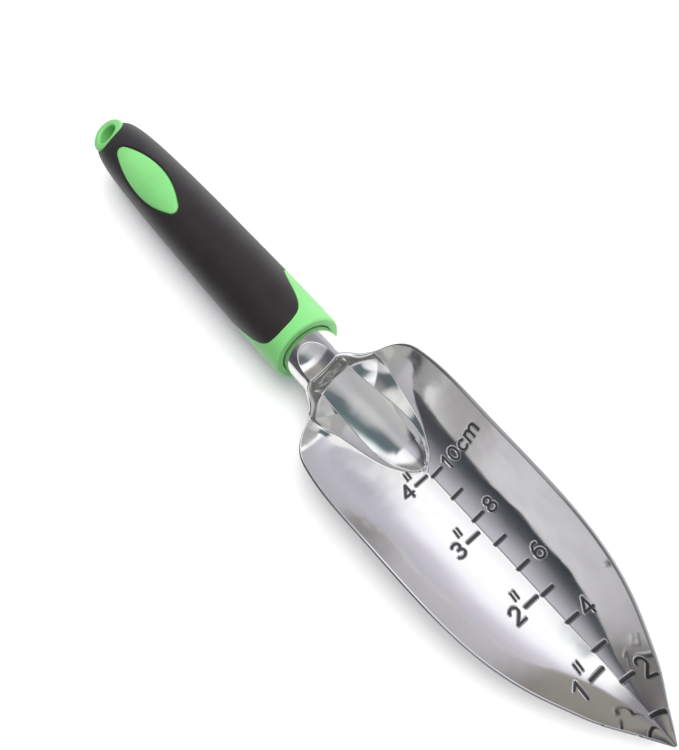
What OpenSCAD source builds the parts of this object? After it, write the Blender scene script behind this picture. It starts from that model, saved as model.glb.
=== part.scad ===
// Hand trowel: a cast aluminium blade whose tang is held in a two-colour moulded handle.
// +X points to the blade's tip, +Y to the centimetre side, +Z up out of the dish.
// The origin is under the middle of the trowel, on the surface that it lies on.

/* [Overall] */
// Length from the blade's tip to the end of the hanging eyelet
overall_len = 323.5; // [318:0.5:332]
// Distance from the tip back to the neck
blade_len = 147; // [145:1:149]

/* [Blade] */
// Width across the shoulders, the blade's widest place
blade_w = 59; // [54:1:64]
// Height of the rim above the underside, at its highest
rim_h = 21; // [17:0.5:24]
// Thickness of the cast blade
blade_t = 2.2; // [1.6:0.1:3]
// How far the crease is rounded off underneath, as a share of the half width
keel_round = 0.25; // [0.15:0.05:0.35]
// How far the underside of the tip curls up
tip_rise = 8; // [3:0.5:9]
// Slope of each half where they meet in the centre crease
crease_slope = 0.1; // [0.05:0.01:0.2]
// Extra crease slope close to the tip, where the blade becomes a V
tip_crease = 0.35; // [0.1:0.05:0.4]

/* [Scoop] */
// Distance from the tip to the closed end of the scooped rib
scoop_start = 101; // [99:1:106]
// Half the distance between the two ridges of the rib, at its widest
scoop_half_w = 8.7; // [7:0.1:10]
// Depth of the hollow between the ridges
scoop_depth = 4; // [2:0.5:5]
// Height of the ridges where they meet the neck
ridge_top = 16; // [14:0.5:18]

/* [Neck and tang] */
// Diameter of the round neck
neck_d = 21.6; // [20:0.2:23]
// Length of neck that the collar covers
neck_seat = 5; // [3:0.5:7]
// Diameter of the tang
tang_d = 13; // [11:0.5:14]
// Length of the tang inside the handle
tang_len = 72; // [50:1:80]
// Depth of the thumb dimple on top of the neck
dimple_deep = 1.4; // [0.5:0.1:2]

/* [Handle] */
// Widest diameter of the grip
grip_d = 29.6; // [29:0.2:31]
// Diameter of the collar at the handle's front
collar_d = 29; // [28:0.2:29]
// Length of neck that shows between the blade and the collar
neck_gap = 14; // [12:0.5:16]
// Length of collar that shows in front of the grip, measured on top
collar_len = 5; // [3:0.5:6]
// How far the collar reaches back at the handle's sides
collar_side = 25; // [20:1:28]
// Thickness of the soft grip over the core
grip_t = 2.6; // [2:0.1:3]

/* [Thumb pad] */
// Length of the leaf-shaped pad
pad_len = 54; // [48:1:58]
// Width of the pad
pad_w = 16; // [14:1:18]
// Distance from the pad's rear end to the middle of the eyelet
pad_gap = 18; // [14:1:20]
// Height of the pad over the grip
pad_proud = 0.4; // [0.2:0.1:0.8]

/* [Hanging eyelet] */
// Diameter of the hanging hole
hole_d = 10; // [8:0.5:11]
// Outer diameter of the eyelet
eyelet_d = 17.6; // [16:0.2:18]
// Height of the eyelet
eyelet_h = 22; // [20:0.5:23]

/* [Hidden] */
$fn = 96;

axis_z = grip_d / 2;
tip_x = overall_len / 2;
eyelet_x = eyelet_d / 2 - tip_x;
neck_r = neck_d / 2;
tang_r = tang_d / 2;
neck_fit = 0.15;
tang_fit = 0.05;

// Distances from the tip along the handle
collar_u = blade_len + neck_gap;
neck_end_u = collar_u + neck_seat;
tang_end_u = neck_end_u + tang_len;
grip_u = collar_u + collar_len;
eyelet_u = overall_len - eyelet_d / 2;
pad_u = eyelet_u - pad_gap - pad_len / 2;

// Stations of the blade: distance from the tip, share of the half width, share of the rim height
STATIONS = [
    [0, 0.02, 0.5], [7.5, 0.21, 0.6], [22, 0.53, 0.71], [42, 0.81, 0.86], [67, 0.93, 0.96],
    [92, 0.97, 1], [117, 1, 0.98], [126, 0.98, 0.95], [133, 0.9, 0.91], [138, 0.74, 0.82],
    [141, 0.59, 0.73], [143.5, 0.49, 0.7], [blade_len, neck_d / blade_w, 0.7]
];
// The section turns from dish to round between here and the neck
blend_u = 133;
// Points across each half section of the blade
HALF = 14;
// The hollow ends in a step up to the neck, which begins this far before the neck
step_len = 3;

// Smooth curve through the stations: column k, distance u from the tip
function slope(k, i) =
    i <= 0 || i >= len(STATIONS) - 1 ? 0 :
    let (a = STATIONS[i - 1], b = STATIONS[i], c = STATIONS[i + 1],
         s1 = (b[k] - a[k]) / (b[0] - a[0]), s2 = (c[k] - b[k]) / (c[0] - b[0]))
    s1 * s2 <= 0 ? 0 : 2 * s1 * s2 / (s1 + s2);
function end_slope(k, i) =
    i == 0 ? (STATIONS[1][k] - STATIONS[0][k]) / STATIONS[1][0] : slope(k, i);
function piece(u, i = 0) =
    i >= len(STATIONS) - 2 || u < STATIONS[i + 1][0] ? i : piece(u, i + 1);
function along(k, u) =
    let (i = piece(u), a = STATIONS[i], b = STATIONS[i + 1], h = b[0] - a[0],
         t = min(1, (u - a[0]) / h), t2 = t * t, t3 = t2 * t)
    (2 * t3 - 3 * t2 + 1) * a[k] + (t3 - 2 * t2 + t) * h * end_slope(k, i)
    + (3 * t2 - 2 * t3) * b[k] + (t3 - t2) * h * end_slope(k, i + 1);
function ease(a, b, x) = let (t = max(0, min(1, (x - a) / (b - a)))) t * t * (3 - 2 * t);

// Dished section: crease in the middle, steepening to the rim
function half_w(u) = along(1, u) * blade_w / 2;
function floor_z(u) = blade_t + tip_rise * pow(max(0, 1 - u / 28), 2);
function crease(u) = crease_slope + tip_crease * exp(-u / 15);
function pan_z(u, y, soft = 0) =
    let (w = half_w(u), c = crease(u) * w, v = abs(y) / w)
    floor_z(u) + c * (norm([v, soft]) - soft) + (along(2, u) * rim_h - floor_z(u) - c) * pow(v, 2.2);

// Scooped rib: two ridges that fall from the neck and close in a round end, with a hollow between
rib_len = blade_len - step_len - scoop_start;
lip = 1.2;
round_share = 0.3;
function rib_share(u) = max(0, min(1, (u - scoop_start) / rib_len));
function ridge_y(u) =
    let (s = rib_share(u), r = 1 - s / round_share)
    scoop_half_w * (r > 0 ? sqrt(1 - r * r) : 1 - 0.3 * (s - round_share));
function ridge_z(u) = floor_z(u) + lip + (ridge_top - blade_t - lip) * pow(rib_share(u), 1.1);
function outer_fall(u) = max(0.12, 0.95 - 0.85 * rib_share(u));
function hollow(u) = scoop_depth * sin(180 * pow(rib_share(u), 0.75)) + lip * (1 - rib_share(u));
function rib_z(u, y) =
    let (g = ridge_y(u), out = abs(y) - g)
    ridge_z(u) - (out > 0 ? outer_fall(u) * out : hollow(u) * (1 - pow(y / max(g, 0.01), 2)));
function top_z(u, y) = u < scoop_start ? pan_z(u, y) : max(pan_z(u, y), rib_z(u, y));

// One ring of the casting, top edge first and then back along the underside
function blade_point(u, v, top) =
    let (y = v * half_w(u))
    [tip_x - u, y, top ? top_z(u, y) : pan_z(u, y, keel_round) - blade_t];
function round_point(u, r, half, v, top) =
    let (a = top ? 90 * v : 180 - 90 * v)
    [tip_x - u, half * sin(a), axis_z + r * cos(a)];
// The dimple is an oval hollow on the neck's top, between the blade and the collar
dimple_u = blade_len + 4.6;
dimple_half_len = 6.4;
dimple_half_w = neck_r / 2;
function dimple(u, v) =
    let (a = (u - dimple_u) / dimple_half_len, b = neck_r * sin(90 * v) / dimple_half_w)
    dimple_deep * pow(max(0, 1 - a * a - b * b), 1.5);
function mixed(u, v, top) =
    let (m = top ? ease(blade_len - step_len, blade_len, u) : ease(blend_u, blade_len, u),
         flat = blade_point(min(u, blade_len), v, top),
         turned = round_point(u, neck_r, max(neck_r, half_w(u)), v, top))
    (1 - m) * flat + m * (turned - [0, 0, top ? dimple(u, v) : 0]);
function ring(u) = concat(
    [for (i = [HALF:-1:-HALF]) mixed(u, i / HALF, true)],
    [for (i = [-HALF:1:HALF]) mixed(u, i / HALF, false)]);
function round_ring(u, r) = concat(
    [for (i = [HALF:-1:-HALF]) round_point(u, r, r, 0.98 * i / HALF, true)],
    [for (i = [-HALF:1:HALF]) round_point(u, r, r, 0.98 * i / HALF, false)]);

// Radius of the tang, which has three holding grooves
groove_gap = 18;
groove_w = 6;
groove_deep = 1.2;
TANG = concat(
    [[neck_end_u, neck_r], [neck_end_u + 0.01, tang_r]],
    [for (i = [1:3], p = [[-1, 0], [-0.5, 1], [0.5, 1], [1, 0]])
        [neck_end_u + i * groove_gap + p[0] * groove_w, tang_r - p[1] * groove_deep]],
    [[tang_end_u - 2, tang_r], [tang_end_u, tang_r - 2]]);

// Outer profile of the handle, as distance from the tip and radius
function grip_r(u) =
    let (back = max(0, (u - taper_u) / (eyelet_u - taper_u)))
    grip_d / 2 - (grip_d - collar_d) / 2 * (1 - ease(grip_u, taper_u, u)) - tail_drop * pow(back, 5);
taper_u = 205;
tail_drop = 3.6;
profile_step = 6;
grip_end_u = eyelet_u + 1;
function profile(from_u, to_u, less) =
    let (count = ceil((to_u - from_u) / profile_step))
    [for (i = [0:count]) let (u = from_u + (to_u - from_u) * i / count) [u, grip_r(u) - less]];

// A body of revolution about the handle's axis, from distance and radius pairs
module turned(pairs) {
    translate([tip_x, 0, axis_z])
        rotate([0, -90, 0])
            rotate_extrude()
                polygon(concat([for (p = pairs) [p[1], p[0]]],
                               [[0, pairs[len(pairs) - 1][0]], [0, pairs[0][0]]]));
}

// Plan outline that the grip fills: it runs forward in a tongue above and below
module tongue_plan() {
    corner = 5.6;
    tongue_half = 12;
    rear = tip_x - grip_u - collar_side;
    translate([-tip_x, -grip_d])
        square([rear + tip_x, 2 * grip_d]);
    hull() {
        for (side = [-1, 1])
            translate([tip_x - grip_u - corner, side * (tongue_half - corner)])
                circle(r = corner);
        translate([rear - 1, -grip_d / 2])
            square([1, grip_d]);
    }
}

// Leaf outline of the thumb pad, from two equal arcs whose points are cut blunt
module leaf_plan() {
    reach = pad_len / 2 * 1.1;
    arc_r = (reach * reach + pad_w * pad_w / 4) / pad_w;
    translate([tip_x - pad_u, 0])
        intersection() {
            translate([0, pad_w / 2 - arc_r]) circle(r = arc_r, $fn = 180);
            translate([0, arc_r - pad_w / 2]) circle(r = arc_r, $fn = 180);
            square([pad_len, pad_w], center = true);
        }
}

// Prism upwards from the handle's axis
module above(plan_h) {
    translate([0, 0, axis_z])
        linear_extrude(plan_h)
            children();
}

// The casting: dished blade, scooped rib, round neck and grooved tang
module blade() {
    coarse = 4;
    fine = 1.4;
    stations = concat([for (u = [0:coarse:blend_u - 1]) u], [for (u = [blend_u:fine:collar_u]) u]);
    rings = concat([for (u = stations) ring(u)], [for (t = TANG) round_ring(t[0], t[1])]);
    count = len(rings[0]);
    points = [for (r = rings) each r];
    sides = [for (i = [0:len(rings) - 2], j = [0:count - 1])
        let (a = i * count + j, b = i * count + (j + 1) % count)
        each [[a, b, b + count], [a, b + count, a + count]]];
    caps = [[for (j = [count - 1:-1:0]) j], [for (j = [0:count - 1]) (len(rings) - 1) * count + j]];
    color("silver")
        polyhedron(points = points, faces = concat(sides, caps), convexity = 8);
}

// Hard green core: collar at the front, socket for the tang, saddle for the eyelet
module handle_core() {
    round_edge = 1.2;
    arc = [for (a = [0:15:75]) [collar_u + round_edge * (1 - sin(a)),
                                collar_d / 2 - round_edge * (1 - cos(a))]];
    collar = concat([for (i = [5:-1:0]) arc[i]],
                    profile(collar_u + round_edge + 0.5, grip_u + collar_side + 4, 0));
    color("limegreen")
        difference() {
            union() {
                turned(concat([[collar_u, collar_d / 2 - round_edge - 1]],
                              profile(collar_u + 0.5, eyelet_u - eyelet_d / 2, grip_t)));
                difference() {
                    turned(collar);
                    translate([0, 0, -1])
                        linear_extrude(grip_d + 2)
                            tongue_plan();
                }
            }
            turned([[collar_u - 1, neck_r + neck_fit], [neck_end_u + neck_fit, neck_r + neck_fit]]);
            turned([[neck_end_u, tang_r + tang_fit], [tang_end_u + 1, tang_r + tang_fit]]);
            translate([eyelet_x, 0, 0])
                cylinder(h = 2 * axis_z, d = eyelet_d);
        }
}

// Soft charcoal grip moulded over the core, with a window for the thumb pad
module grip_sleeve() {
    color("dimgray")
        difference() {
            intersection() {
                turned(profile(grip_u - 2, grip_end_u, 0));
                translate([0, 0, -1])
                    linear_extrude(grip_d + 2)
                        tongue_plan();
            }
            turned(profile(collar_u + 0.5, grip_end_u + 2, grip_t));
            above(grip_d)
                leaf_plan();
            translate([eyelet_x, 0, -1])
                cylinder(h = grip_d + 2, d = eyelet_d);
        }
}

// Leaf-shaped green pad under the thumb, seated on the core in the grip's window
module thumb_pad() {
    color("lightgreen")
        intersection() {
            difference() {
                turned(profile(grip_u + 20, grip_end_u, -pad_proud));
                turned(profile(collar_u + 0.5, grip_end_u + 2, grip_t));
            }
            above(grip_d)
                leaf_plan();
        }
}

// Green ring at the handle's end, with the hanging hole through it
module hang_eyelet() {
    lip = 1.5;
    half = eyelet_h / 2;
    color("limegreen")
        translate([eyelet_x, 0, axis_z])
            rotate_extrude()
                polygon([
                    [hole_d / 2, -half + lip], [hole_d / 2 + lip, -half], [eyelet_d / 2 - lip, -half],
                    [eyelet_d / 2, -half + lip], [eyelet_d / 2, half - lip], [eyelet_d / 2 - lip, half],
                    [hole_d / 2 + lip, half], [hole_d / 2, half - lip]
                ]);
}

blade();
handle_core();
grip_sleeve();
thumb_pad();
hang_eyelet();
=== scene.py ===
import math

import bpy
import numpy as np
from mathutils import Matrix, Vector


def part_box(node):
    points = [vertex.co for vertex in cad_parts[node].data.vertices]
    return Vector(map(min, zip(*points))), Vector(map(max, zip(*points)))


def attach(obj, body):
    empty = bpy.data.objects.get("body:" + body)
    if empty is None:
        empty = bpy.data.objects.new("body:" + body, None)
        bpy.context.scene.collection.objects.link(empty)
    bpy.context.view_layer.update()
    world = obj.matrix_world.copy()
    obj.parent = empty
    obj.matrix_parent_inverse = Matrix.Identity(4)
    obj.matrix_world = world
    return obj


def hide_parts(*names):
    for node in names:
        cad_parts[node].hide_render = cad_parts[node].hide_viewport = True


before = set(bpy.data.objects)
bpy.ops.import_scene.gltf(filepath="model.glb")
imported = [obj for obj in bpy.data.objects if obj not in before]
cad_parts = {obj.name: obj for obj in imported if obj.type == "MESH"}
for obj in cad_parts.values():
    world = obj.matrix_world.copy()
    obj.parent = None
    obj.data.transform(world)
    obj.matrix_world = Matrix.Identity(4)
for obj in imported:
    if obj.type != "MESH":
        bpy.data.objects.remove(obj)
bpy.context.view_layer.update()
scene = bpy.context.scene

# Camera: the trowel is seen from above and in front of the blade, a little to the centimetre side,
# with the tip at the lower right.
tip_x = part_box("blade")[1].x
camera_data = bpy.data.cameras.new("camera")
camera_data.lens = 28.82
camera_data.clip_start = 0.01
camera = bpy.data.objects.new("camera", camera_data)
scene.collection.objects.link(camera)
right = Vector((0.61195, 0.69222, -0.38256)).normalized()
back = Vector((0.43582, 0.1085, 0.89347)).normalized()
up = back.cross(right).normalized()
right = up.cross(back)
camera.matrix_world = Matrix((
    (right.x, up.x, back.x, tip_x - 0.0499),
    (right.y, up.y, back.y, 0.0255),
    (right.z, up.z, back.z, 0.208),
    (0, 0, 0, 1),
))
scene.camera = camera
scene.view_settings.view_transform = "Standard"


# Floor: a pale matte table top, far wider than the trowel. It lies a hair under the trowel, so that
# the two surfaces never meet.
def new_material(name):
    material = bpy.data.materials.new(name)
    material.use_nodes = True
    nodes = material.node_tree.nodes
    return material, nodes, material.node_tree.links, nodes["Principled BSDF"]


floor_mesh = bpy.data.meshes.new("floor")
reach = 4.0
floor_mesh.from_pydata([(-reach, -reach, 0), (reach, -reach, 0), (reach, reach, 0), (-reach, reach, 0)],
                       [], [(0, 1, 2, 3)])
floor = bpy.data.objects.new("floor", floor_mesh)
scene.collection.objects.link(floor)
floor.location.z = -0.0002
material, nodes, links, shader = new_material("floor_paint")
shader.inputs["Base Color"].default_value = (0.96, 0.96, 0.955, 1)
shader.inputs["Roughness"].default_value = 0.9
shader.inputs["Specular IOR Level"].default_value = 0.1
floor.data.materials.append(material)


# Light: one large soft box above the centimetre side gives the soft shadow. Polished metal doesn't
# reflect the box, only the room, whose brightness changes round the trowel's length and along it.
def area_light(name, place, aim, width, height, watts, colour):
    data = bpy.data.lights.new(name, "AREA")
    data.shape = "RECTANGLE"
    data.size, data.size_y = width, height
    data.energy = watts
    data.color = colour
    lamp = bpy.data.objects.new(name, data)
    scene.collection.objects.link(lamp)
    lamp.location = place
    lamp.rotation_euler = (Vector(aim) - Vector(place)).to_track_quat("-Z", "Y").to_euler()
    return lamp


soft_box = area_light("soft_box", place=(0.15, 0.45, 0.93), aim=(0, 0, 0), width=0.8, height=0.6,
                      watts=10.5, colour=(1, 0.99, 0.97))
soft_box.visible_glossy = False

world = bpy.data.worlds.new("room")
scene.world = world
world.use_nodes = True
nodes, links = world.node_tree.nodes, world.node_tree.links
background = nodes["Background"]
coords = nodes.new("ShaderNodeTexCoord")
split = nodes.new("ShaderNodeSeparateXYZ")
links.new(coords.outputs["Generated"], split.inputs[0])


def maths(operation, *values):
    """The result of one sum, from numbers or from other nodes."""
    node = nodes.new("ShaderNodeMath")
    node.operation = operation
    for socket, value in zip(node.inputs, values):
        if isinstance(value, (int, float)):
            socket.default_value = value
        else:
            links.new(value, socket)
    return node.outputs[0]


def mapped(source, low, high, to_low=0.0, to_high=1.0):
    """A value stretched from one range to another."""
    node = nodes.new("ShaderNodeMapRange")
    node.inputs["From Min"].default_value = low
    node.inputs["From Max"].default_value = high
    node.inputs["To Min"].default_value = to_low
    node.inputs["To Max"].default_value = to_high
    links.new(source, node.inputs["Value"])
    return node.outputs[0]


def mixed(amount, first, second):
    """A colour between the first and the second, by an amount from 0 to 1."""
    node = nodes.new("ShaderNodeMix")
    node.data_type = "RGBA"
    links.new(amount, node.inputs[0])
    for socket, colour in ((node.inputs[6], first), (node.inputs[7], second)):
        if isinstance(colour, tuple):
            socket.default_value = colour
        else:
            links.new(colour, socket)
    return node.outputs[2]


across = maths("ARCTAN2", split.outputs["Y"], split.outputs["Z"])
turn_share = mapped(across, -math.pi, math.pi)


def room_ramp(stops):
    """Room colours by the angle in degrees from straight up, towards the centimetre side."""
    ramp = nodes.new("ShaderNodeValToRGB")
    links.new(turn_share, ramp.inputs["Fac"])
    elements = ramp.color_ramp.elements
    while len(elements) < len(stops):
        elements.new(0.5)
    for element, (angle, colour) in zip(elements, stops):
        element.position = (angle + 180) / 360
        element.color = (*colour, 1)
    return ramp.outputs["Color"]


def blend_along(before, after, start, end):
    """Goes from one room to the other as the direction turns towards the tip."""
    amount = mapped(split.outputs["X"], start, end)
    amount.node.interpolation_type = "SMOOTHSTEP"
    return mixed(amount, before, after)


# The room over the trowel: white on the centimetre side, dark slate low on the inch side.
above = room_ramp([
    (-100, (0.72, 0.7, 0.63)), (-90, (0.2, 0.19, 0.18)), (-80, (0.04, 0.05, 0.06)),
    (-68, (0.04, 0.05, 0.06)), (-54, (0.11, 0.12, 0.14)), (-40, (0.33, 0.33, 0.37)),
    (-24, (0.6, 0.59, 0.67)), (-6, (0.8, 0.8, 0.89)), (3, (1.08, 1.09, 1.18)),
    (20, (1.26, 1.28, 1.33)), (46, (1.26, 1.28, 1.33)), (58, (1.16, 1.16, 1.27)),
    (70, (0.78, 0.76, 0.88)), (82, (0.56, 0.55, 0.63)), (100, (0.5, 0.51, 0.55)),
])
# Towards the handle the room is a mid grey.
behind = room_ramp([
    (-100, (0.22, 0.21, 0.2)), (-85, (0.13, 0.13, 0.14)), (-60, (0.09, 0.09, 0.11)),
    (-36, (0.13, 0.13, 0.16)), (-12, (0.26, 0.25, 0.26)), (2, (0.42, 0.41, 0.39)),
    (20, (0.42, 0.41, 0.4)), (34, (0.33, 0.32, 0.35)), (54, (0.34, 0.33, 0.38)),
    (70, (0.42, 0.41, 0.47)), (80, (0.62, 0.61, 0.7)), (100, (0.45, 0.46, 0.5)),
])
# Towards the tip it is dark slate between two bright parts.
ahead = room_ramp([
    (-100, (0.95, 0.97, 0.97)), (-80, (0.85, 0.87, 0.86)), (-64, (0.6, 0.61, 0.61)),
    (-33, (0.52, 0.53, 0.56)), (-6, (0.62, 0.63, 0.67)), (7, (0.44, 0.46, 0.48)),
    (17, (0.17, 0.2, 0.23)), (40, (0.13, 0.18, 0.2)), (50, (0.2, 0.27, 0.29)), (59, (0.9, 0.96, 1)),
    (66, (1.25, 1.3, 1.35)), (100, (1.25, 1.27, 1.32)),
])
# Farther towards the tip it is pale, and close to level it is dark.
past_tip = room_ramp([
    (-100, (0.3, 0.3, 0.32)), (-60, (0.45, 0.47, 0.48)), (-20, (0.75, 0.76, 0.78)),
    (10, (0.7, 0.71, 0.74)), (30, (0.85, 0.88, 0.92)), (60, (1.2, 1.22, 1.27)),
    (100, (0.5, 0.51, 0.53)),
])
level = room_ramp([(-100, (0.22, 0.22, 0.23)), (0, (0.14, 0.145, 0.15)), (100, (0.3, 0.3, 0.31))])
room = blend_along(above, ahead, 0.03, 0.16)
room = blend_along(behind, room, -0.42, -0.2)
room = blend_along(room, past_tip, 0.44, 0.6)
room = blend_along(room, level, 0.76, 0.9)
links.new(room, background.inputs["Color"])
background.inputs["Strength"].default_value = 1.0


# Blade and neck: one polished aluminium casting, held by a tang that the handle covers. The dish has
# a crease down the middle, the scooped rib falls from the neck and closes in a round end, and the
# depth scale is cut in, with painted shade in its strokes. Millimetres: u is the distance from the
# tip, y is across.
def spline(pairs, at):
    """A smooth curve through pairs of place and value."""
    xs = np.array([p[0] for p in pairs], float)
    ys = np.array([p[1] for p in pairs], float)
    n = len(xs)
    h = np.diff(xs)
    a = np.zeros((n, n))
    b = np.zeros(n)
    a[0, 0] = a[-1, -1] = 1
    for i in range(1, n - 1):
        a[i, i - 1:i + 2] = h[i - 1], 2 * (h[i - 1] + h[i]), h[i]
        b[i] = 6 * ((ys[i + 1] - ys[i]) / h[i] - (ys[i] - ys[i - 1]) / h[i - 1])
    m = np.linalg.solve(a, b)
    at = np.clip(np.asarray(at, float), xs[0], xs[-1])
    k = np.clip(np.searchsorted(xs, at, side="right") - 1, 0, n - 2)
    p, q = xs[k + 1] - at, at - xs[k]
    return ((m[k] * p**3 + m[k + 1] * q**3) / (6 * h[k])
            + (ys[k] / h[k] - m[k] * h[k] / 6) * p + (ys[k + 1] / h[k] - m[k + 1] * h[k] / 6) * q)


def ease(start, end, x):
    """Rises smoothly from 0 at the start to 1 at the end."""
    t = np.clip((np.asarray(x, float) - start) / (end - start), 0, 1)
    return t * t * (3 - 2 * t)


def soft_max(a, b, r):
    """The higher of two surfaces, with their crease filled over a height r."""
    d = np.clip(0.5 + 0.5 * (a - b) / r, 0, 1)
    return b + (a - b) * d + r * d * (1 - d) * 0.5


def skin(name, rings, loop=False):
    """A mesh from rings of points in millimetres: ends closed, or the last ring joined to the first."""
    count = len(rings[0])
    points = np.concatenate(rings)
    faces = []
    for i in range(len(rings) if loop else len(rings) - 1):
        a = np.arange(count) + i * count
        b = np.roll(a, -1)
        step = count if i + 1 < len(rings) else -i * count
        faces.append(np.stack([a, b, b + step, a + step], 1))
    faces = [tuple(f) for f in np.concatenate(faces).tolist()]
    points = points.tolist()
    if not loop:
        base = (len(rings) - 1) * count
        points.append(np.mean(rings[0], 0).tolist())
        points.append(np.mean(rings[-1], 0).tolist())
        faces += [((j + 1) % count, j, len(points) - 2) for j in range(count)]
        faces += [(base + j, base + (j + 1) % count, len(points) - 1) for j in range(count)]
    mesh = bpy.data.meshes.new(name)
    mesh.from_pydata([(x / 1000, y / 1000, z / 1000) for x, y, z in points], [], faces)
    mesh.validate()
    mesh.shade_smooth()
    piece = bpy.data.objects.new(name, mesh)
    scene.collection.objects.link(piece)
    return piece


tip = tip_x * 1000
grip_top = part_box("grip_sleeve")[1].z * 1000
axis_z = grip_top / 2
neck_r = 10.8
blade_thick = 2.2
tip_curl, curl_len = 8.0, 28
rib_end = 101.5

# Half the blade's width and the rim's height, by distance from the tip.
HALF_WIDTH = [(0, 0.5), (3, 2.9), (7.5, 6.0), (14, 10.8), (22, 15.4), (31, 19.8), (42, 23.6), (54, 26.0),
              (67, 27.3), (80, 28.0), (92, 28.5), (105, 29.2), (117, 29.45), (126, 28.8), (133, 26.6),
              (137, 22.8), (140, 18.6), (143, 14.6), (146, 12.0), (149, 10.9), (153, 10.8), (156, 10.8)]
RIM = [(0, 10.4), (7.5, 12.5), (22, 15.0), (42, 18.0), (67, 20.2), (92, 21.0), (117, 20.6), (128, 19.8),
       (134, 18.8), (138, 17.2), (141, 15.4), (144, 14.6), (150, axis_z), (156, axis_z)]


def half_w(u):
    return spline(HALF_WIDTH, u)


def inner_w(u):
    """Half the width inside the rounded rim."""
    return half_w(u) - np.minimum(1.25, 0.4 * half_w(u))


def crease_z(u):
    """Height of the crease, which curls up at the tip."""
    return blade_thick + tip_curl * np.clip(1 - u / curl_len, 0, None)**2


def pan(u, y):
    """The dish: two straight halves from the crease that curve up to the rim."""
    w = inner_w(u)
    rise = (0.1 + 0.35 * np.exp(-u / 15)) * w
    v = np.abs(y) / w
    low = crease_z(u)
    return low + rise * v + (spline(RIM, u) - low - rise) * v**2.2


def rib(u, y):
    """The scooped rib: two ridges with a hollow between them, and flanks that fall to the dish."""
    ridge_y = spline([(rib_end, 0.2), (103, 2.9), (105.5, 5.0), (109, 7.0), (114, 8.4), (120, 8.7),
                      (128, 8.2), (138, 7.2), (146, 6.8)], u)
    ridge_y = np.where(u < 103, np.sqrt(np.clip((u - rib_end) / 1.5, 0, 1)) * 2.9, ridge_y)
    ridge_z = spline([(rib_end, 3.3), (106, 4.3), (114, 7.0), (123, 10.2), (131, 13.4), (138, 16.2),
                      (146, 18.6)], u)
    middle_z = spline([(rib_end, 3.3), (104, 2.4), (109, 2.35), (114, 3.3), (123, 6.9), (131, 11.0),
                       (138, 14.6), (146, 17.9)], u)
    fall = spline([(101, 1.1), (108, 1.15), (116, 1.08), (125, 0.95), (131, 0.85), (137, 0.53),
                   (141, 0.2), (146, 0.1)], u)
    before = np.clip(rib_end - u, 0, None)
    out = np.where(before > 0, np.hypot(before, y), np.clip(np.abs(y) - ridge_y, 0, None))
    inside = np.clip(1 - (y / np.maximum(ridge_y, 0.1))**2, 0, 1)
    hollow = np.where(before > 0, 0, np.clip(ridge_z - middle_z, 0, None)) * inside
    return ridge_z - fall * out - hollow


# The depth scale, as strokes in millimetres: first number across to the centimetre side, second
# number towards the handle. Marks every 10 mm on one side of the crease and every inch on the other.
def arc(cx, cy, rx, ry, start, end, steps=28):
    """Part of an ellipse between two angles in degrees."""
    t = np.radians(np.linspace(start, end, steps))
    return np.stack([cx + rx * np.cos(t), cy + ry * np.sin(t)], 1)


GLYPHS = {
    "0": [arc(0.5, 0.5, 0.46, 0.5, 0, 360)],
    "1": [np.array([(0.1, 0.76), (0.55, 1.0), (0.55, 0.0)])],
    "2": [np.concatenate([arc(0.5, 0.7, 0.42, 0.3, 165, -30), [(0.04, 0.0), (0.98, 0.0)]])],
    "3": [arc(0.44, 0.755, 0.4, 0.245, 145, -90), arc(0.44, 0.265, 0.47, 0.265, 90, -150)],
    "4": [np.array([(0.76, 0.0), (0.76, 1.0), (0.02, 0.28), (1.0, 0.28)])],
    "6": [arc(0.5, 0.3, 0.45, 0.3, 0, 360),
          np.array([(0.05, 0.3), (0.06, 0.5), (0.15, 0.72), (0.33, 0.9), (0.6, 1.0), (0.82, 0.97)])],
    "8": [arc(0.5, 0.765, 0.36, 0.235, 0, 360), arc(0.5, 0.265, 0.45, 0.265, 0, 360)],
    "c": [arc(0.52, 0.35, 0.48, 0.35, 45, 315)],
    "m": [np.array([(0.0, 0.0), (0.0, 0.7)]),
          np.concatenate([arc(0.24, 0.46, 0.24, 0.24, 180, 0), [(0.48, 0.0)]]),
          np.concatenate([arc(0.74, 0.46, 0.26, 0.24, 180, 0), [(1.0, 0.0)]])],
    "inch mark": [np.array([(0.1, 0.0), (0.22, 1.0)]), np.array([(0.72, 0.0), (0.84, 1.0)])],
}
scale_zero = 2.5
figure_tall = 4.8
mark_half, figure_half, crease_line_half = 0.5, 0.36, 0.16
mark_deep, crease_line_deep = 0.5, 0.16
strokes = []


def cut(sign, y, u, width, height, half_stroke=figure_half):
    """Adds a sign's strokes, with its lower corner at y across and u from the tip."""
    for line in GLYPHS[sign]:
        strokes.append((line * (width, height) + (y, u), half_stroke))


for cm in range(1, 11):
    at = 10 * cm - scale_zero
    strokes.append((np.array([(0.15, at), (4.5, at)]), mark_half))
for cm, y in ((2, 6.6), (4, 6.2), (6, 7.2), (8, 6.4)):
    cut(str(cm), y, 10 * cm - scale_zero - figure_tall / 2, 3.4, figure_tall)
for sign, y, width in (("1", 6.2, 2.6), ("0", 9.6, 3.3), ("c", 14.0, 3.1), ("m", 18.2, 4.8)):
    cut(sign, y, 95.0, width, 4.6)
for inch in range(1, 5):
    at = 25.4 * inch - scale_zero
    strokes.append((np.array([(-1.4, at), (-6.0, at)]), mark_half))
    cut(str(inch), -11.2, at - figure_tall / 2, 3.2, figure_tall)
    cut("inch mark", -7.2, at + 3.2, 2.0, 2.4, 0.3)
strokes.append((np.array([(0, 8.0), (0, 98.5)]), crease_line_half))


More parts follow.
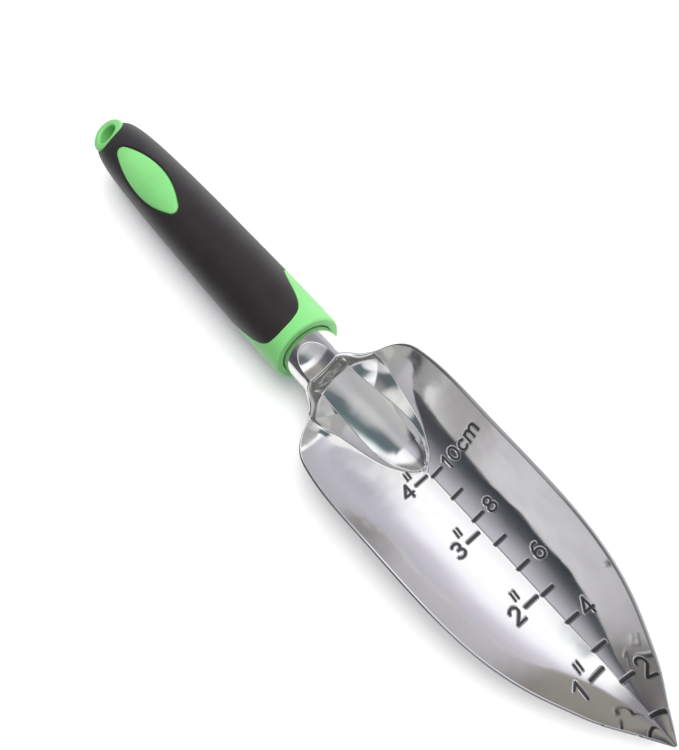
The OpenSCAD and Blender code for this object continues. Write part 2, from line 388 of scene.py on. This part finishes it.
def cut_depth(u, y):
    """How deep the scale's strokes are at each point of the grid."""
    deep = np.zeros_like(u)
    for line, half in strokes:
        full = crease_line_deep if half == crease_line_half else mark_deep
        edge = half + 0.3
        near = ((y > line[:, 0].min() - edge) & (y < line[:, 0].max() + edge)
                & (u > line[:, 1].min() - edge) & (u < line[:, 1].max() + edge))
        if not near.any():
            continue
        py, pu = y[near], u[near]
        best = np.full(py.shape, 9.0)
        for (y0, u0), (y1, u1) in zip(line[:-1], line[1:]):
            dy, du = y1 - y0, u1 - u0
            t = np.clip(((py - y0) * dy + (pu - u0) * du) / (dy * dy + du * du + 1e-9), 0, 1)
            best = np.minimum(best, np.hypot(py - y0 - t * dy, pu - u0 - t * du))
        deep[near] = np.maximum(deep[near], full * (1 - ease(half - 0.12, half + 0.2, best)))
    return deep


# Top of the casting: a grid that is closest along the crease, with rows closest at the depth scale
# and at the neck's front. A slight wave is left from the hand polishing.
side = np.linspace(0, 1, 121)**1.2
v_top = np.concatenate([-side[::-1], side[1:]])
rows = np.concatenate([np.arange(0, 6, 0.2), np.arange(6, 104, 0.25), np.arange(104, 142, 0.5),
                       np.arange(142, 149, 0.12), np.arange(149, 165.3, 0.4)])
u = np.repeat(rows[:, None], len(v_top), 1)
w_in = inner_w(rows)[:, None]
w_out = half_w(rows)[:, None]
y = v_top[None, :] * w_in
scale_cut = cut_depth(u, y)
rib_fillet = 0.9
z = soft_max(pan(u, y), rib(u, y), rib_fillet) - scale_cut
wave = 0.03 * np.sin(u / 5.1 + 0.22 * y) * np.sin(y / 3.9 + 0.6 + u / 23)
wave += 0.02 * np.sin(u / 8.7 - y / 5.5)
z = z + wave * ease(2, 12, u)

# The neck begins with a steep face, less steep at the sides, and has a thumb dimple on top.
face_front, face_back, side_reach = 143.4, 146.4, 6
step = ease(face_front - side_reach * v_top[None, :]**2, face_back, rows[:, None])
side_step = step[:, -1:]
side_gap = 0.12
angle = (np.pi / 2 - side_gap * step) * v_top[None, :]
half = np.maximum(neck_r, (1 - side_step) * w_in + side_step * w_out)
dimple_u, dimple_half_len = 149.4, 8.2
dimple_y, dimple_half_w = 0.4, 6.2
dimple_deep = 3.2
dent = np.clip(1 - ((u - dimple_u) / dimple_half_len)**2
               - ((neck_r * np.sin(angle) - dimple_y) / dimple_half_w)**2, 0, None)
top_y = (1 - step) * y + step * half * np.sin(angle)
top_z = (1 - step) * z + step * (axis_z + neck_r * np.cos(angle) - dimple_deep * dent**1.1)

# Underside: the dish again, one thickness lower, which turns round earlier than the top does.
turn_front, turn_back = 133, 147.4
v_low = np.linspace(1, -1, 61)
u_low = np.repeat(rows[:, None], len(v_low), 1)
low = np.clip(pan(u_low, v_low[None, :] * w_in) - blade_thick, 0.0, None)
turn = ease(turn_front, turn_back, rows)[:, None]
angle = (np.pi / 2 - side_gap * turn) * v_low[None, :]
low_y = (1 - turn) * v_low[None, :] * w_out + turn * np.maximum(neck_r, w_out) * np.sin(angle)
low_z = (1 - turn) * low + turn * (axis_z - neck_r * np.cos(angle))

# Rim: a rounded edge between the two, which becomes the neck's side.
edge_points = 7
t = np.linspace(0, 1, edge_points + 2)[1:-1]
side_angle = np.pi / 2 - side_gap + 2 * side_gap * t
edge_crown = 0.25
rings = []
for i, at in enumerate(rows):
    ty, tz = top_y[i], top_z[i]
    ly, lz = low_y[i], low_z[i]
    rounded = float(side_step[i, 0])
    flat_y = ty[-1] + (ly[0] - ty[-1]) * np.sin(np.pi / 2 * t)
    flat_z = tz[-1] + (lz[0] - tz[-1]) * (1 - np.cos(np.pi / 2 * t)) + edge_crown * np.sin(np.pi * t)
    round_side = np.stack([half[i, 0] * np.sin(side_angle), axis_z + neck_r * np.cos(side_angle)], 1)
    curve = (1 - rounded) * np.stack([flat_y, flat_z], 1) + rounded * round_side
    section = np.concatenate([np.stack([ty, tz], 1), curve,
                              np.stack([ly, lz], 1), curve[::-1] * (-1, 1)])
    rings.append(np.stack([np.full(len(section), tip - at), section[:, 0], section[:, 1]], 1))
blade = skin("cast_blade", rings)


def mark_points(piece, name, shares):
    """Stores a share for each point of the rings, which the material reads by name."""
    stored = np.zeros(len(piece.data.vertices), np.float32)
    stored[:shares.size] = shares.ravel()
    piece.data.attributes.new(name, "FLOAT", "POINT").data.foreach_set("value", stored)


cut_share = np.zeros((len(rows), len(rings[0])))
cut_share[:, :len(v_top)] = scale_cut
mark_points(blade, "scale_cut", cut_share)
# Painted dark reflection on the rim's outer edge, fading out before the neck.
rim_shade_share = np.zeros((len(rows), len(rings[0])))
rim_shade_share[:, len(v_top):len(v_top) + edge_points] = 1
rim_shade_share[:, -edge_points:] = 1
rim_shade_to, rim_shade_gone = 136, 143
rim_shade_share *= 1 - ease(rim_shade_to, rim_shade_gone, rows)[:, None]
mark_points(blade, "rim_shade", rim_shade_share)


def noise(place, scale, detail):
    """Soft random patches, smaller at a larger scale."""
    node = nodes.new("ShaderNodeTexNoise")
    node.inputs["Scale"].default_value = scale
    node.inputs["Detail"].default_value = detail
    links.new(place, node.inputs["Vector"])
    return node.outputs["Fac"]


def relief(height, strength, depth, under=None):
    """Fine unevenness of the surface, on top of a coarser one if that is given."""
    node = nodes.new("ShaderNodeBump")
    node.inputs["Strength"].default_value = strength
    node.inputs["Distance"].default_value = depth
    links.new(height, node.inputs["Height"])
    if under:
        links.new(under, node.inputs["Normal"])
    return node.outputs[0]


def stored_share(name):
    """A share that mark_points stored on the piece."""
    node = nodes.new("ShaderNodeAttribute")
    node.attribute_name = name
    return node.outputs["Fac"]


def on_piece():
    """Places on the piece in its own metres, for textures that stay with it."""
    return nodes.new("ShaderNodeTexCoord").outputs["Object"]


# Polished aluminium: fine buffing along the blade over a slight swell. The rim's outer edge is darker:
# painted dark reflection. The cut scale's strokes are near black and not metal: painted shade.
material, nodes, links, shader = new_material("polished_aluminium")
# The strokes' near-black colour is painted shade for the dark that the recesses show.
stroke_shade = mapped(stored_share("scale_cut"), 0.1, 0.36)
painted = mixed(stroke_shade, (0.80, 0.79, 0.765, 1), (0.035, 0.037, 0.042, 1))
# The rim's outer edge is darkened towards grey: painted dark reflection.
edge = maths("MULTIPLY", stored_share("rim_shade"), 0.8)
links.new(mixed(edge, painted, (0.2, 0.2, 0.21, 1)), shader.inputs["Base Color"])
links.new(maths("SUBTRACT", 1, stroke_shade), shader.inputs["Metallic"])
place = on_piece()
along = nodes.new("ShaderNodeMapping")
along.inputs["Scale"].default_value = (30, 160, 60)
links.new(place, along.inputs["Vector"])
buffing = noise(along.outputs[0], 1.6, 5)
bare_rough = mapped(buffing, 0.3, 0.7, 0.06, 0.14)
links.new(maths("MULTIPLY_ADD", stroke_shade, 0.4, bare_rough), shader.inputs["Roughness"])
swell = relief(noise(place, 70, 2), 0.25, 0.0006)
links.new(relief(buffing, 0.08, 0.00005, swell), shader.inputs["Normal"])
blade.data.materials.append(material)
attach(blade, "root")
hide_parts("blade")

# Handle core: hard green polypropylene moulded round the tang. Its collar shows in front of the
# grip, with a rounded front edge and a hole that the neck goes into. The handle's radius by the
# distance from the tip is the same for the core, the grip and the pad.
collar_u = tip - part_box("handle_core")[1].x * 1000
grip_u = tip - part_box("grip_sleeve")[1].x * 1000
eyelet_low, eyelet_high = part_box("hang_eyelet")
eyelet_x = (eyelet_low.x + eyelet_high.x) * 500
eyelet_u = tip - eyelet_x
eyelet_r = (eyelet_high.x - eyelet_low.x) * 500
eyelet_gap = 0.15
widest_r = 14.8
HANDLE = [(160, 14.25), (166, 14.5), (175, 14.68), (190, 14.78), (205, widest_r), (225, 14.78),
          (250, 14.7), (268, 14.45), (280, 14.15), (290, 13.85), (300, 13.35), (308, 12.65),
          (314, 11.75), (318, 10.8), (324, 8.6)]


def handle_r(u):
    return spline(HANDLE, u)


def tongue_u(theta):
    """The grip's front edge, a tongue above and below, at an angle from straight up."""
    wide = widest_r * np.abs(np.sin(theta))
    return grip_u + spline([(0, 0), (3, 0.15), (6, 1.0), (8.6, 2.7), (10.4, 5.6), (11.9, 10.6),
                            (13.0, 16.5), (14.0, 22.5), (widest_r, 27.0)], wide)


def rear_u(theta):
    """The grip's rear edge, close round the eyelet, brought nearer in a few rounds."""
    at = np.full_like(theta, eyelet_u - 5)
    for _ in range(12):
        wide = np.abs(handle_r(at) * np.sin(theta))
        at = eyelet_u - np.sqrt(np.clip((eyelet_r + eyelet_gap)**2 - wide**2, 0, None))
    return at


theta = np.linspace(0, 2 * np.pi, 288, endpoint=False)
front = tongue_u(theta)
rear = rear_u(theta)


def turned_ring(at, r):
    """A ring round the handle's axis, at a distance from the tip and with a radius."""
    at = at + 0 * theta
    r = r + 0 * theta
    return np.stack([tip - at, r * np.sin(theta), axis_z + r * np.cos(theta)], 1)


neck_hole_r, neck_hole_deep, neck_hole_lip = 11.0, 4.5, 0.45
rings = [turned_ring(collar_u + neck_hole_deep, neck_hole_r - 0.1),
         turned_ring(collar_u + neck_hole_deep - 0.05, neck_hole_r - 0.05)]
rings += [turned_ring(collar_u + d, neck_hole_r) for d in (4.0, 2.5, 1.2, 0.7)]
rings += [turned_ring(collar_u + neck_hole_lip * (1 - math.sin(a)),
                      neck_hole_r + neck_hole_lip * (1 - math.cos(a)))
          for a in np.radians([0, 25, 50, 75, 90])]
rings += [turned_ring(collar_u, 12.0)]
collar_round = 1.2
edge_r = handle_r(collar_u + collar_round) - collar_round
rings += [turned_ring(collar_u + collar_round * (1 - math.cos(a)), edge_r + collar_round * math.sin(a))
          for a in np.radians([0, 10, 20, 30, 40, 50, 60, 70, 80, 90])]

# A narrow joint is left between the collar and the grip, and the core goes on lower under the grip.
joint_gap, joint_round, joint_deep = 0.2, 0.22, 1.2
under_grip = 2.75
start = collar_u + collar_round
collar_end = front - joint_gap - joint_round
for t in np.linspace(0, 1, 36)[1:]:
    at = start + (collar_end - start) * t
    rings.append(turned_ring(at, handle_r(at)))
for a in np.radians([30, 60, 90]):
    at = collar_end + joint_round * math.sin(a)
    rings.append(turned_ring(at, handle_r(at) - joint_round * (1 - math.cos(a))))
rings.append(turned_ring(front - 0.18, handle_r(front) - joint_deep))
rings.append(turned_ring(front - 0.15, handle_r(front) - under_grip))
for t in np.linspace(0, 1, 40)[1:]:
    at = front + (rear - 0.3 - front) * t
    rings.append(turned_ring(at, handle_r(at) - under_grip))
core = skin("core_collar", rings)


def two_tone(spread, first_at, first, second_at, second):
    """Patches that go from one shade of a moulding to the other."""
    node = nodes.new("ShaderNodeValToRGB")
    stops = node.color_ramp.elements
    stops[0].position, stops[0].color = first_at, first
    stops[1].position, stops[1].color = second_at, second
    links.new(spread, node.inputs["Fac"])
    return node.outputs["Color"]


material, nodes, links, shader = new_material("green_polypropylene")
place = on_piece()
clouds = two_tone(noise(place, 45, 4), 0.3, (0.19, 0.56, 0.175, 1), 0.75, (0.23, 0.62, 0.21, 1))
links.new(clouds, shader.inputs["Base Color"])
shader.inputs["Roughness"].default_value = 0.38
shader.inputs["Subsurface Weight"].default_value = 0.08
shader.inputs["Subsurface Radius"].default_value = (0.0006, 0.0016, 0.0006)
links.new(relief(noise(place, 1800, 3), 0.25, 0.00006), shader.inputs["Normal"])
green = material
core.data.materials.append(green)
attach(core, "root")
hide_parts("handle_core")

# Grip sleeve: soft charcoal rubber moulded over the core, with rounded edges at the tongue and a
# shallow pocket on top that the thumb pad sits in.
pad_low, pad_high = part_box("thumb_pad")
pad_u = tip - (pad_low.x + pad_high.x) * 500
pad_half = (pad_high.x - pad_low.x) * 500
pad_half_w = (pad_high.y - pad_low.y) * 500


def leaf_outline(count=160, grow=0.0):
    """The leaf as closed points round its middle, distance along and across."""
    a = np.linspace(0, 2 * np.pi, count, endpoint=False)
    t = np.cos(a)
    lens = 1 - (np.abs(t) / 1.12)**2.1
    blunt = np.sqrt(np.clip(1 - np.clip((np.abs(t) - 0.93) / 0.07, 0, 1)**2, 0, 1))
    return np.stack([t * (pad_half + grow), np.sign(np.sin(a)) * (pad_half_w + grow) * lens * blunt], 1)


def signed_to_leaf(u, y):
    """Distance outside the leaf's outline, negative inside, in millimetres."""
    line = leaf_outline(240)
    shape = u.shape
    p = np.stack([(u - pad_u).ravel(), y.ravel()], 1)
    best = np.full(len(p), 99.0)
    inside = np.zeros(len(p), bool)
    for (x0, y0), (x1, y1) in zip(line, np.roll(line, -1, 0)):
        dx, dy = x1 - x0, y1 - y0
        t = np.clip(((p[:, 0] - x0) * dx + (p[:, 1] - y0) * dy) / (dx * dx + dy * dy + 1e-9), 0, 1)
        best = np.minimum(best, np.hypot(p[:, 0] - x0 - t * dx, p[:, 1] - y0 - t * dy))
        crosses = (y0 > p[:, 1]) != (y1 > p[:, 1])
        inside ^= crosses & (p[:, 0] < dx * (p[:, 1] - y0) / (dy + 1e-12) + x0)
    return np.where(inside, -best, best).reshape(shape)


grip_thick = 2.6
grip_round, end_round = 0.8, 0.75
lip_deep, lip_wide = 0.3, 0.9
pocket_deep, pocket_wall = 1.6, 0.35
rings = [turned_ring(front + 1.5, handle_r(front) - grip_thick),
         turned_ring(front + 0.05, handle_r(front) - grip_thick),
         turned_ring(front, handle_r(front) - joint_deep)]
for a in np.radians([0, 22, 45, 67]):
    rings.append(turned_ring(front + grip_round * (1 - math.cos(a)),
                             handle_r(front) - grip_round * (1 - math.sin(a))))
start = front + grip_round
end = rear - end_round - eyelet_gap
steps = np.concatenate([np.linspace(0, 0.42, 110), np.linspace(0.42, 1, 250)[1:]])
for t in steps:
    at = start + (end - start) * t
    r = handle_r(at)
    y_here = r * np.sin(theta)
    near = (np.cos(theta) > 0) & (at > pad_u - pad_half - 3) & (at < pad_u + pad_half + 3)
    if near.any():
        gap = np.full(len(theta), 9.0)
        gap[near] = signed_to_leaf(at[near], y_here[near])
        lip = lip_deep * (1 - ease(0.0, lip_wide, gap))
        pocket = pocket_deep * (1 - ease(0.0, pocket_wall, gap - 0.05))
        r = r - np.maximum(lip, pocket)
    rings.append(turned_ring(at, r))
for a in np.radians([30, 60, 90]):
    rings.append(turned_ring(end + end_round * math.sin(a),
                             handle_r(end) - end_round * (1 - math.cos(a))))
rings.append(turned_ring(rear - 0.12, handle_r(rear) - grip_thick))
rings.append(turned_ring(rear - 1.5, handle_r(rear) - grip_thick))
for t in np.linspace(1, 0, 30)[1:-1]:
    at = front + 1.5 + (rear - 3 - front) * t
    rings.append(turned_ring(at, handle_r(at) - grip_thick))
sleeve = skin("soft_grip", rings, loop=True)

material, nodes, links, shader = new_material("charcoal_soft_rubber")
place = on_piece()
dust = two_tone(noise(place, 120, 6), 0.3, (0.014, 0.0115, 0.012, 1), 0.8, (0.021, 0.018, 0.0185, 1))
links.new(dust, shader.inputs["Base Color"])
shader.inputs["Roughness"].default_value = 0.48
shader.inputs["Specular IOR Level"].default_value = 0.45
shader.inputs["Sheen Weight"].default_value = 0.04
shader.inputs["Sheen Roughness"].default_value = 0.4
links.new(relief(noise(place, 2600, 2), 0.45, 0.00012), shader.inputs["Normal"])
sleeve.data.materials.append(material)
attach(sleeve, "root")
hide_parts("grip_sleeve")

# Thumb pad: a leaf-shaped inlay of softer green rubber in the core's colour, slightly domed, with a
# rounded edge. It stands in the grip's pocket, with a fine gap all round.
pad_gap, pad_sink = 0.28, 0.02
pad_round, pad_dome = 0.55, 0.32
outline = leaf_outline(160, -pad_gap)
rings = []
shrink = np.concatenate([[0.02], np.linspace(0.1, 0.9, 14), [0.93, 0.95, 0.965, 0.98, 0.99, 0.997, 1.0]])
for k in shrink:
    at = pad_u + outline[:, 0] * k
    wide = outline[:, 1] * k
    inset = (1 - k) * pad_half_w
    drop = pad_round * (1 - np.sqrt(1 - np.clip(1 - inset / pad_round, 0, 1)**2))
    r = handle_r(at) + pad_dome * (1 - k * k) - drop - pad_sink
    rings.append(np.stack([tip - at, wide, axis_z + np.sqrt(r**2 - wide**2)], 1))
at = pad_u + outline[:, 0]
for down in (0.9, 1.3):
    r = handle_r(at) - down
    rings.append(np.stack([tip - at, outline[:, 1], axis_z + np.sqrt(r**2 - outline[:, 1]**2)], 1))
pad = skin("thumb_leaf", rings)

material = green.copy()
material.name = "green_soft_rubber"
shader = material.node_tree.nodes["Principled BSDF"]
shader.inputs["Roughness"].default_value = 0.5
pad.data.materials.append(material)
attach(pad, "root")
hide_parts("thumb_pad")

# Hanging eyelet: a ring of the core's green polypropylene through the handle's end. Its top slopes
# down to the back with the handle, and both lips of the hole are rounded.
hole_r = 5.0
hole_lip, rim_lip = 1.3, 0.9
top_middle = (eyelet_high.z - eyelet_low.z) * 500 - 0.9
top_slope, top_crown = 0.2, 0.012
lips = [(hole_r + hole_lip * (1 - math.cos(a)), -hole_lip * (1 - math.sin(a)))
        for a in np.radians(np.linspace(0, 90, 9))]
lips += [(eyelet_r - rim_lip * (1 - math.cos(a)), -rim_lip * (1 - math.sin(a)))
         for a in np.radians(np.linspace(90, 0, 8))]
profile = [(r, drop, 1) for r, drop in lips]
profile += [(eyelet_r, -4.0, 1), (eyelet_r, 0, 0), (eyelet_r, -4.0, -1)]
profile += [(r, drop, -1) for r, drop in lips[::-1]]
profile += [(hole_r, -5.0, -1), (hole_r, 0, 0), (hole_r, -5.0, 1)]
around = np.linspace(0, 2 * np.pi, 128, endpoint=False)
rings = []
for r, drop, side_sign in profile:
    x = eyelet_x + r * np.cos(around)
    y_ring = r * np.sin(around)
    top = top_middle + top_slope * (x - eyelet_x) - top_crown * y_ring**2
    z_ring = axis_z + side_sign * (top + drop) if side_sign else np.full_like(x, axis_z)
    rings.append(np.stack([x, y_ring, z_ring], 1))
eyelet = skin("hang_ring", rings, loop=True)

eyelet.data.materials.append(green)
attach(eyelet, "root")
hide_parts("hang_eyelet")
